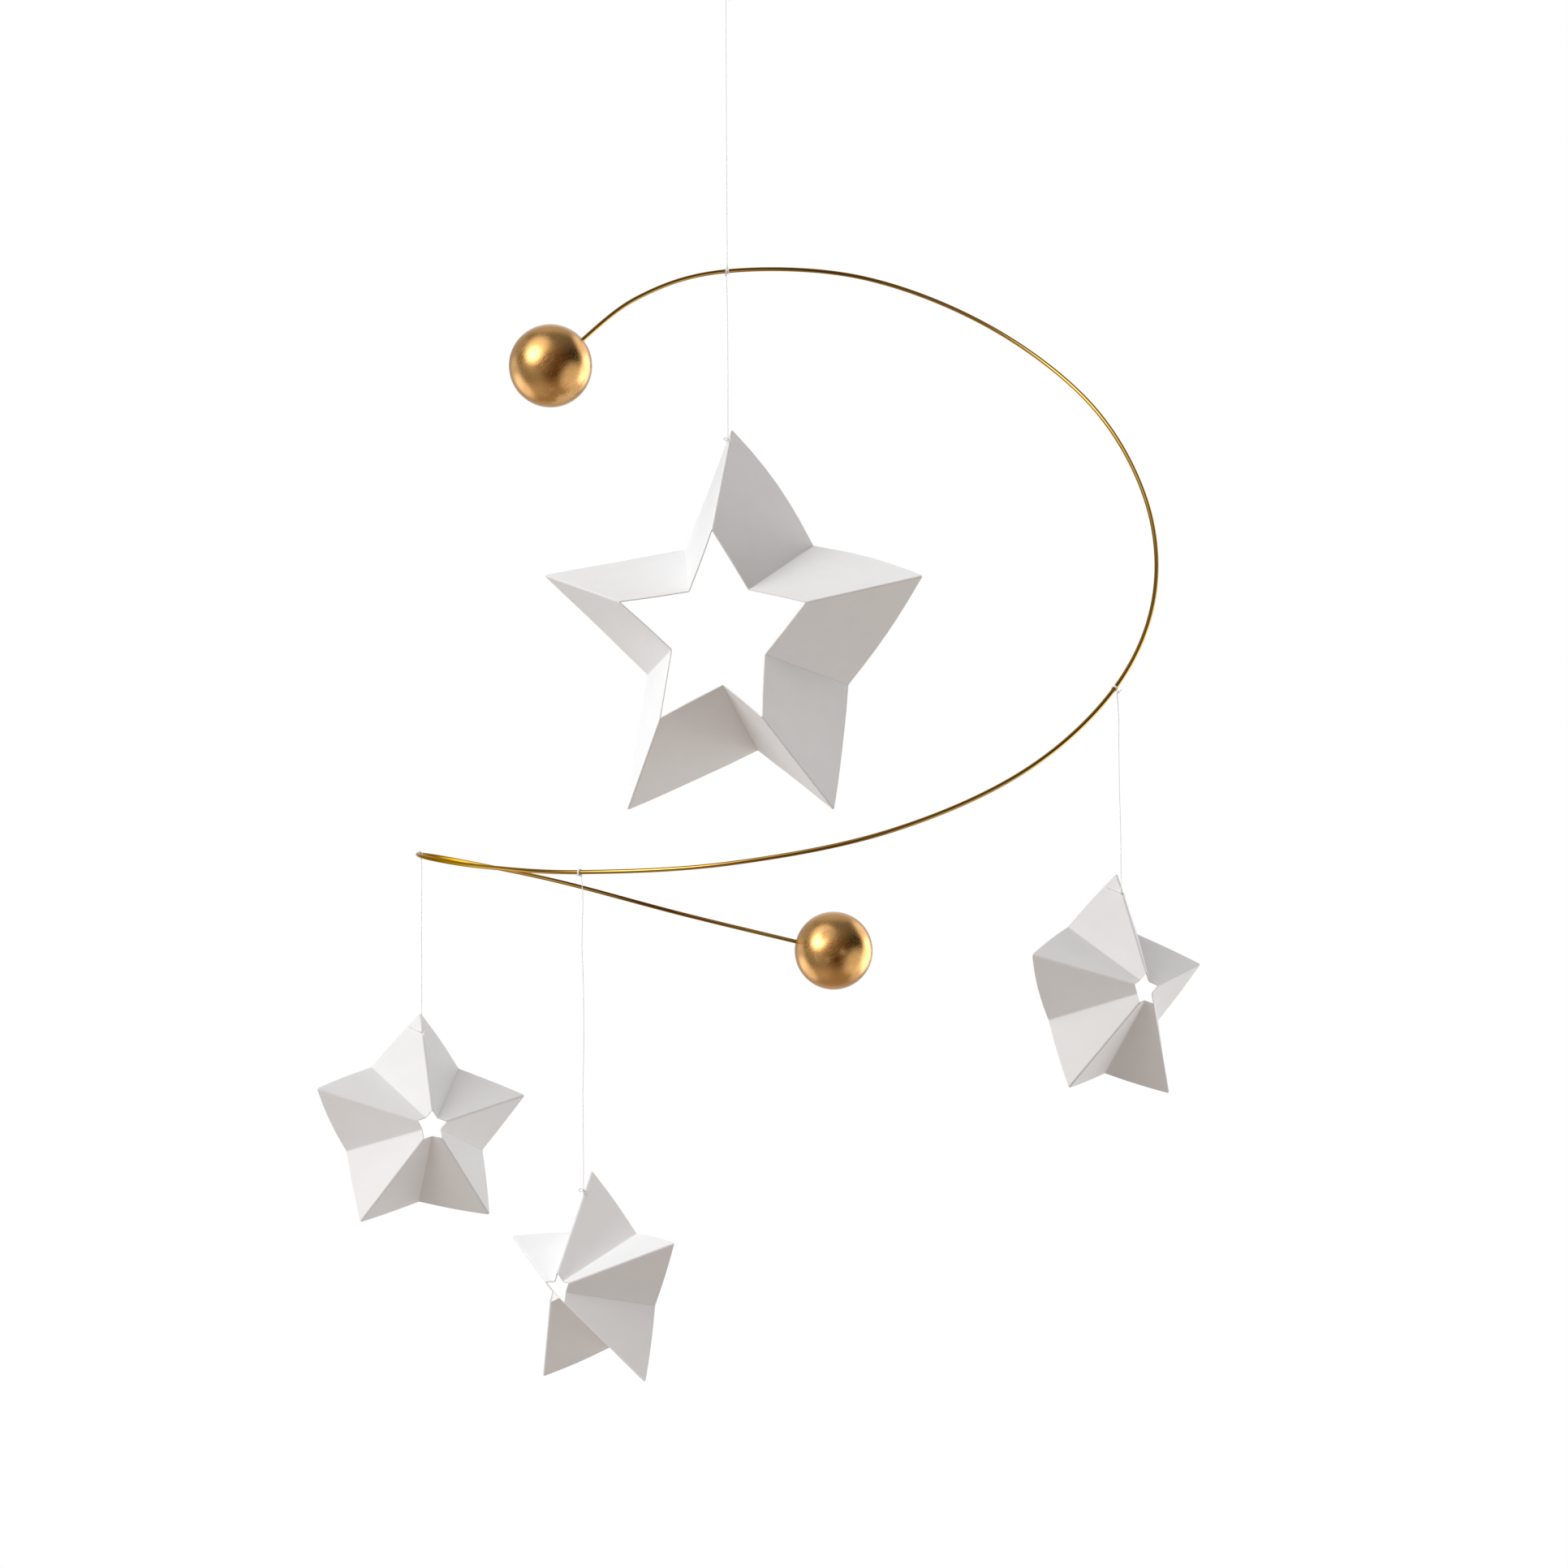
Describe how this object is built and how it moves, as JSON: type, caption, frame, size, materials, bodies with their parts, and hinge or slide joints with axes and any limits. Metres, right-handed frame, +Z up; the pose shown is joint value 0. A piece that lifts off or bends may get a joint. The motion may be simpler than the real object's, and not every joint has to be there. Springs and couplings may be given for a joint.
{
  "type": "hanging mobile",
  "caption": "Hanging mobile: a swirl of brass wire with gilded balls on its ends, hung on cotton thread, with folded white card stars.",
  "frame": {"origin": "top of the hanging loop, on the line of the suspension thread", "axes": "+Z up along the suspension thread, +X to the right and +Y away seen from the front"},
  "size_m": [0.3198, 0.276, 0.5289],
  "materials": {
    "brass_wire": "polished",
    "gilded_wood": "polished",
    "white_card": "matte",
    "cotton_thread": "matte"
  },
  "bodies": {
    "loop": {"hanging_loop": "cotton_thread"},
    "upper_knot": {"loop_knot": "cotton_thread"},
    "main_line": {"suspension_thread": "cotton_thread"},
    "wire_knot": {"suspension_knot": "cotton_thread"},
    "wire_turns": {"suspension_hitch": "cotton_thread"},
    "swirl": {"swirl_wire": "brass_wire", "upper_ball": "gilded_wood", "lower_ball": "gilded_wood"},
    "large_turns": {"large_star_hitch": "cotton_thread"},
    "large_line": {"large_star_thread": "cotton_thread"},
    "large_hung": {"large_star": "white_card", "large_star_tie": "cotton_thread"},
    "left_turns": {"left_star_hitch": "cotton_thread"},
    "left_line": {"left_star_thread": "cotton_thread"},
    "left_hung": {"left_star": "white_card", "left_star_tie": "cotton_thread"},
    "middle_turns": {"middle_star_hitch": "cotton_thread"},
    "middle_line": {"middle_star_thread": "cotton_thread"},
    "middle_hung": {"middle_star": "white_card", "middle_star_tie": "cotton_thread"},
    "right_turns": {"right_star_hitch": "cotton_thread"},
    "right_line": {"right_star_thread": "cotton_thread"},
    "right_hung": {"right_star": "white_card", "right_star_tie": "cotton_thread"}
  },
  "joints": [
    {"name": "swing_fore_aft", "type": "hinge", "parent": "loop", "child": "upper_knot", "pos_m": [0, 0, -0.0134], "axis": [1, 0, 0], "range_deg": [-12, 12]},
    {"name": "swing_sideways", "type": "hinge", "parent": "upper_knot", "child": "main_line", "pos_m": [0, 0, -0.0134], "axis": [0, 1, 0], "range_deg": [-12, 12]},
    {"name": "swirl_turn", "type": "hinge", "parent": "main_line", "child": "wire_knot", "pos_m": [0, 0, -0.11495], "axis": [0, 0, 1], "continuous": true},
    {"name": "swirl_tip", "type": "hinge", "parent": "wire_knot", "child": "wire_turns", "pos_m": [0, 0, -0.118], "axis": [-0.3265, 0.9452, 0], "range_deg": [-10, 10]},
    {"name": "swirl_roll", "type": "hinge", "parent": "wire_turns", "child": "swirl", "pos_m": [0, 0, -0.118], "axis": [0.935, 0.323, 0.1463], "range_deg": [-10, 10]},
    {"name": "large_star_swing_across", "type": "hinge", "parent": "swirl", "child": "large_turns", "pos_m": [-0.00112, -0.00039, -0.11818], "axis": [0.935, 0.323, 0.1463], "range_deg": [-10, 10]},
    {"name": "large_star_swing_along", "type": "hinge", "parent": "large_turns", "child": "large_line", "pos_m": [-0.00112, -0.00039, -0.11818], "axis": [-0.3265, 0.9452, 0], "range_deg": [-10, 10]},
    {"name": "large_star_turn", "type": "hinge", "parent": "large_line", "child": "large_hung", "pos_m": [-0.00082, -0.00039, -0.1814], "axis": [0, 0, 1], "continuous": true},
    {"name": "left_star_swing_across", "type": "hinge", "parent": "swirl", "child": "left_turns", "pos_m": [-0.11492, 0.00349, -0.33548], "axis": [0.0542, 0.9956, 0.076], "range_deg": [-10, 10]},
    {"name": "left_star_swing_along", "type": "hinge", "parent": "left_turns", "child": "left_line", "pos_m": [-0.11492, 0.00349, -0.33548], "axis": [-0.9985, 0.0543, 0], "range_deg": [-10, 10]},
    {"name": "left_star_turn", "type": "hinge", "parent": "left_line", "child": "left_hung", "pos_m": [-0.11492, 0.00349, -0.401], "axis": [0, 0, 1], "continuous": true},
    {"name": "middle_star_swing_across", "type": "hinge", "parent": "swirl", "child": "middle_turns", "pos_m": [-0.05101, -0.11948, -0.35294], "axis": [-0.8461, 0.5315, 0.0397], "range_deg": [-10, 10]},
    {"name": "middle_star_swing_along", "type": "hinge", "parent": "middle_turns", "child": "middle_line", "pos_m": [-0.05101, -0.11948, -0.35294], "axis": [-0.5319, -0.8468, 0], "range_deg": [-10, 10]},
    {"name": "middle_star_turn", "type": "hinge", "parent": "middle_line", "child": "middle_hung", "pos_m": [-0.05072, -0.11948, -0.4627], "axis": [0, 0, 1], "continuous": true},
    {"name": "right_star_swing_across", "type": "hinge", "parent": "swirl", "child": "right_turns", "pos_m": [0.13694, -0.09102, -0.28662], "axis": [-0.4763, -0.5853, -0.6562], "range_deg": [-10, 10]},
    {"name": "right_star_swing_along", "type": "hinge", "parent": "right_turns", "child": "right_line", "pos_m": [0.13694, -0.09102, -0.28662], "axis": [0.7756, -0.6312, 0], "range_deg": [-10, 10]},
    {"name": "right_star_turn", "type": "hinge", "parent": "right_line", "child": "right_hung", "pos_m": [0.13823, -0.09102, -0.3587], "axis": [0, 0, 1], "continuous": true}
  ]
}
